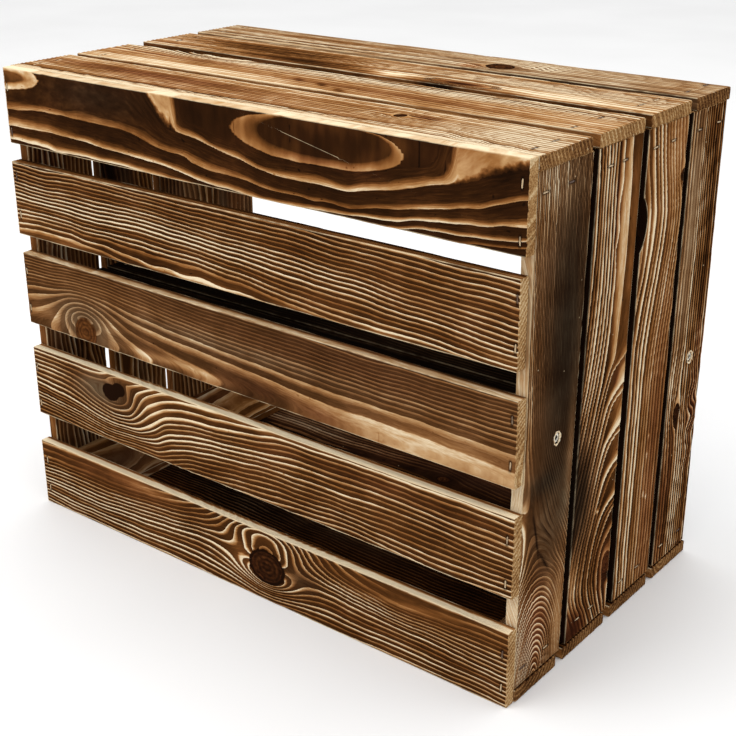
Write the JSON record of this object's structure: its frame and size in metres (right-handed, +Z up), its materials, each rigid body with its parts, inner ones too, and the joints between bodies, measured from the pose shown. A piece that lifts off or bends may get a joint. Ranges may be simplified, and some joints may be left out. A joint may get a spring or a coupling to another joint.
{
  "type": "kindling crate",
  "caption": "Slatted softwood crate for kindling with a shelf at half height, lying on a long side, mouth to the back; flame-browned boards stapled to corner posts.",
  "frame": {"origin": "on the floor, under the middle of the crate as it lies on its long side", "axes": "+Z up, +X to the right along the boards, +Y from the slatted bottom, which faces the front, to the open mouth at the back"},
  "size_m": [0.5, 0.278, 0.395],
  "materials": {
    "slat_wood": "flamed and brushed softwood, dark brown earlywood with raised cream to golden rings",
    "side_wood": "lightly flamed and brushed softwood, golden brown with a soft sheen",
    "end_wood": "strongly flamed and brushed softwood, dark brown to black char between tan rings",
    "shelf_wood": "strongly flamed and brushed softwood, near-black char with faint brown rings",
    "screw_steel": "countersunk wood screws, smoked dark",
    "post_wood": "sawn softwood, lightly browned",
    "staple_wire": "dull galvanised wire, smoked brown"
  },
  "bodies": {
    "root": {"bottom_board_1": "side_wood", "bottom_board_2": "side_wood", "bottom_board_3": "side_wood", "bottom_board_4": "side_wood", "front_slat_1": "slat_wood", "front_slat_2": "slat_wood", "front_slat_3": "slat_wood", "front_slat_4": "slat_wood", "front_slat_5": "slat_wood", "left_board_1": "end_wood", "left_board_2": "end_wood", "left_board_3": "end_wood", "left_board_4": "end_wood", "post_bottom_left": "post_wood", "post_bottom_right": "post_wood", "post_top_left": "post_wood", "post_top_right": "post_wood", "right_board_1": "end_wood", "right_board_2": "end_wood", "right_board_3": "end_wood", "right_board_4": "end_wood", "screw_left_front": "screw_steel", "screw_left_rear": "screw_steel", "screw_right_front": "screw_steel", "screw_right_rear": "screw_steel", "shelf_board_1": "shelf_wood", "shelf_board_2": "shelf_wood", "shelf_board_3": "shelf_wood", "shelf_board_4": "shelf_wood", "shelf_cleat_left": "post_wood", "shelf_cleat_right": "post_wood", "staple_right_1": "staple_wire", "staple_right_2": "staple_wire", "staple_right_3": "staple_wire", "staple_right_4": "staple_wire", "staple_slat_1_left": "staple_wire", "staple_slat_1_right": "staple_wire", "staple_slat_2_left": "staple_wire", "staple_slat_2_right": "staple_wire", "staple_slat_3_left": "staple_wire", "staple_slat_3_right": "staple_wire", "staple_slat_4_left": "staple_wire", "staple_slat_4_right": "staple_wire", "staple_slat_5_left": "staple_wire", "staple_slat_5_right": "staple_wire", "staple_top_1_left": "staple_wire", "staple_top_1_right": "staple_wire", "staple_top_2_left": "staple_wire", "staple_top_2_right": "staple_wire", "staple_top_3_left": "staple_wire", "staple_top_3_right": "staple_wire", "staple_top_4_left": "staple_wire", "staple_top_4_right": "staple_wire", "top_board_1": "side_wood", "top_board_2": "side_wood", "top_board_3": "side_wood", "top_board_4": "side_wood"}
  },
  "joints": []
}
